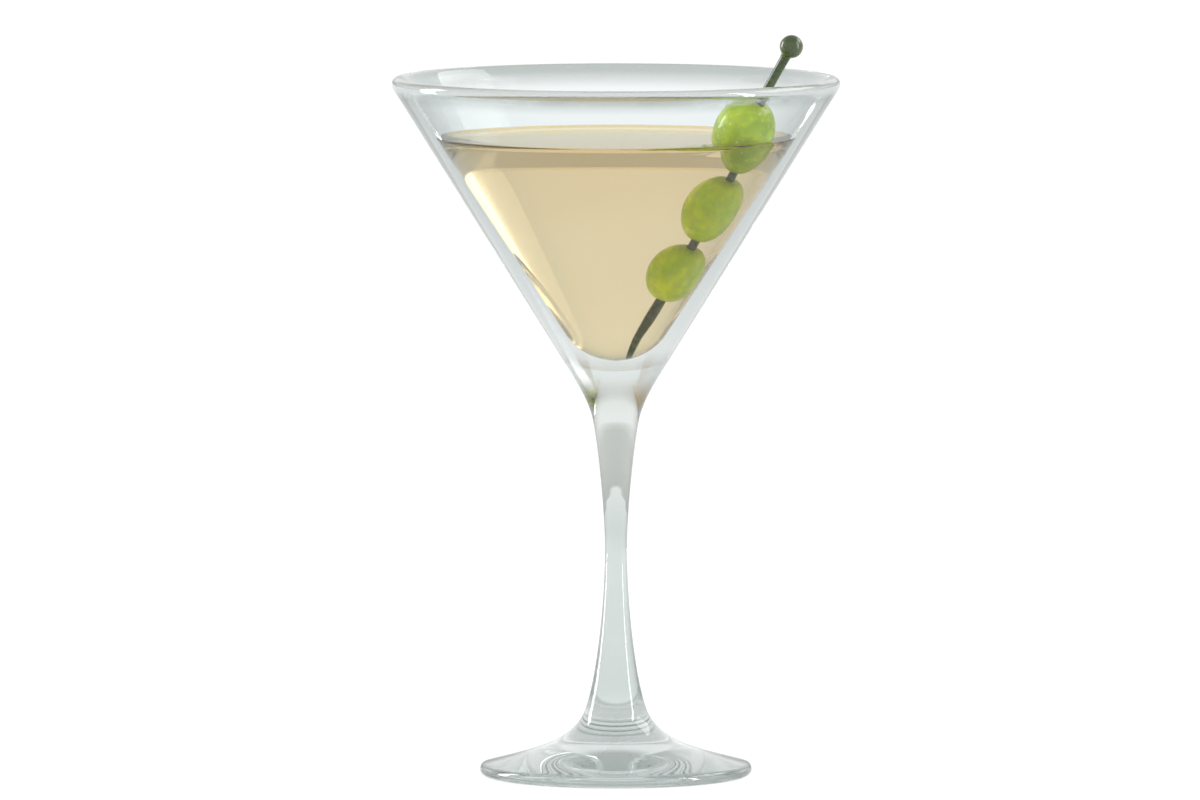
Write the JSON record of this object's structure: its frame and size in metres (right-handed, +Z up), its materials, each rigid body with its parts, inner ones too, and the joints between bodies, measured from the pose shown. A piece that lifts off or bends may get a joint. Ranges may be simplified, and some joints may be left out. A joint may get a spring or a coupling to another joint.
{
  "type": "martini cocktail",
  "caption": "Martini in a clear stemmed cone glass, pale straw drink, with green olives on a dark green pick leaning in the bowl.",
  "frame": {"origin": "centre of the flat ring under the foot, on the table", "axes": "+Z up along the stem, -Y towards the front, +X to the right, the side that the pick leans to"},
  "size_m": [0.1154, 0.1154, 0.1926],
  "materials": {
    "glass": "clear polished glass",
    "drink": "clear pale straw drink",
    "olive": "wet green olive skin",
    "pick": "dark green moulded plastic"
  },
  "bodies": {
    "root": {"glass": "glass", "drink": "drink", "olive_1": "olive", "olive_2": "olive", "olive_3": "olive", "pick": "pick"}
  },
  "joints": []
}
